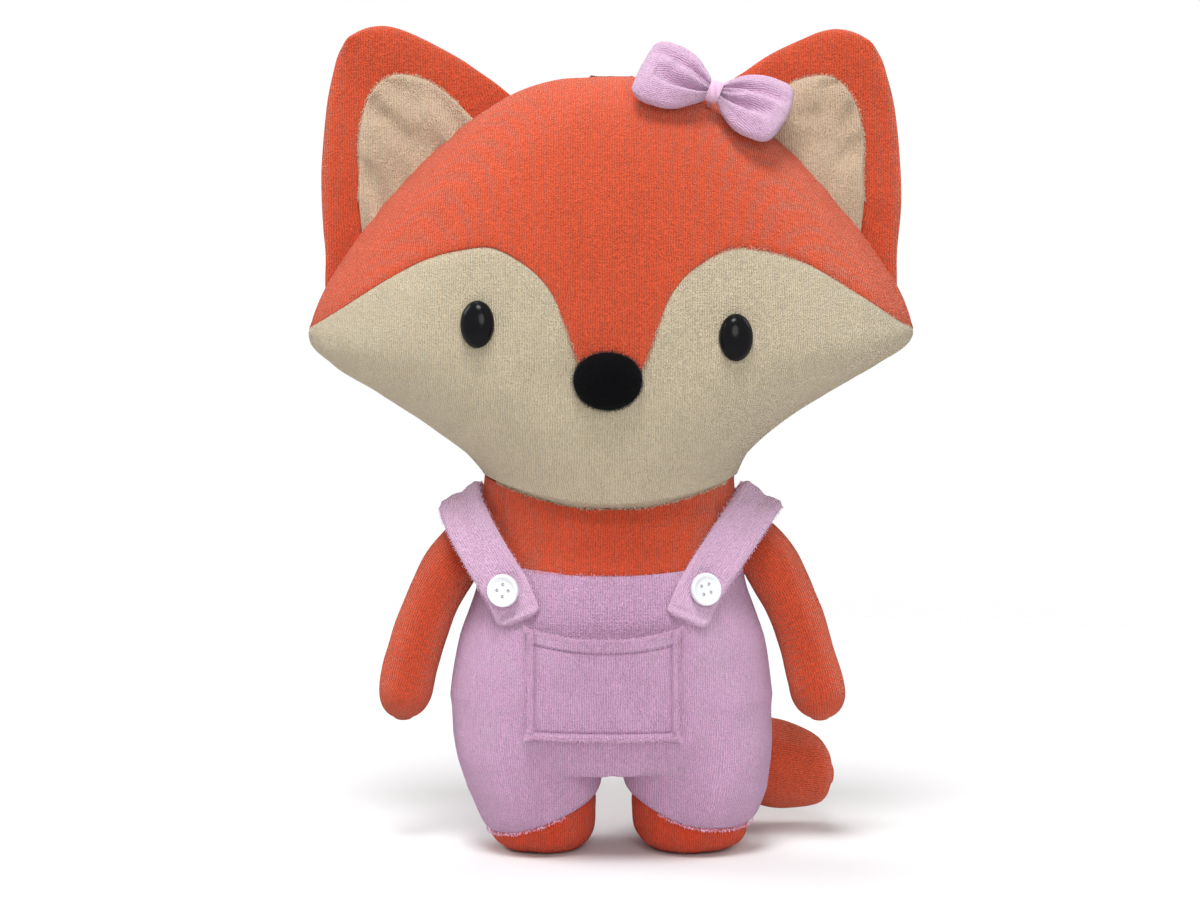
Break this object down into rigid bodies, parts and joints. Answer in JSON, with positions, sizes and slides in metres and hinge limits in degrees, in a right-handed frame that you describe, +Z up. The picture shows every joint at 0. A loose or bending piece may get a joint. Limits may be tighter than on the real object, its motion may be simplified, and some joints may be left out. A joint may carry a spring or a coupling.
{
  "type": "plush fox",
  "caption": "Standing plush fox with a wide cream face, orange body, pink dungarees with a patch pocket and straps, a bow, and limp sewn arms, ears and tail.",
  "frame": {"origin": "middle of the toy's footprint box, at the soles", "axes": "+Z up, -Y the way the fox faces, +X towards the fox's own left"},
  "size_m": [0.2168, 0.1111, 0.298],
  "materials": {
    "orange_velour": "short velour pile",
    "cream_velour": "short velour pile",
    "pink_velour": "short velour pile",
    "black_velour": "short velour pile",
    "black_plastic": "gloss",
    "white_plastic": "semi-gloss",
    "thread": "wound thread",
    "fibre": "loose fibre filling"
  },
  "bodies": {
    "torso": {"chest_panel": "orange_velour", "trousers": "pink_velour", "body_filling": "fibre", "left_foot": "orange_velour", "right_foot": "orange_velour", "left_strap": "pink_velour", "right_strap": "pink_velour", "left_button": "white_plastic", "right_button": "white_plastic", "pocket": "pink_velour"},
    "head": {"forehead_panel": "orange_velour", "face_panel": "cream_velour", "head_back_panel": "orange_velour", "head_filling": "fibre", "left_eye": "black_plastic", "left_eye_washer": "black_plastic", "right_eye": "black_plastic", "right_eye_washer": "black_plastic", "nose": "black_velour", "bow_left_loop": "pink_velour", "bow_right_loop": "pink_velour", "bow_wrap": "thread"},
    "left_ear_body": {"left_ear": "orange_velour", "left_inner_ear": "cream_velour"},
    "right_ear_body": {"right_ear": "orange_velour", "right_inner_ear": "cream_velour"},
    "left_arm_body": {"left_arm": "orange_velour", "left_arm_filling": "fibre"},
    "right_arm_body": {"right_arm": "orange_velour", "right_arm_filling": "fibre"},
    "tail_body": {"tail": "orange_velour", "tail_filling": "fibre"}
  },
  "joints": [
    {"name": "neck_turn", "type": "hinge", "parent": "torso", "child": "head", "pos_m": [0, 0, 0.1272], "axis": [0, 0, 1], "range_deg": [-30, 30], "stiffness_Nm_per_rad": 0.05},
    {"name": "left_ear_flop", "type": "hinge", "parent": "head", "child": "left_ear_body", "pos_m": [0.07374, 0, 0.25062], "axis": [0.7149, 0, -0.6992], "range_deg": [-35, 10], "stiffness_Nm_per_rad": 0.01},
    {"name": "right_ear_flop", "type": "hinge", "parent": "head", "child": "right_ear_body", "pos_m": [-0.07374, 0, 0.25062], "axis": [-0.7149, 0, -0.6992], "range_deg": [-10, 35], "stiffness_Nm_per_rad": 0.01},
    {"name": "left_shoulder", "type": "hinge", "parent": "torso", "child": "left_arm_body", "pos_m": [0.04772, 0, 0.11152], "axis": [1, 0, 0], "range_deg": [-40, 30]},
    {"name": "right_shoulder", "type": "hinge", "parent": "torso", "child": "right_arm_body", "pos_m": [-0.04772, 0, 0.11152], "axis": [1, 0, 0], "range_deg": [-40, 30]},
    {"name": "tail_wag", "type": "hinge", "parent": "torso", "child": "tail_body", "pos_m": [0.006, 0.0427, 0.034], "axis": [0, 0, 1], "range_deg": [0, 110], "stiffness_Nm_per_rad": 0.01}
  ]
}
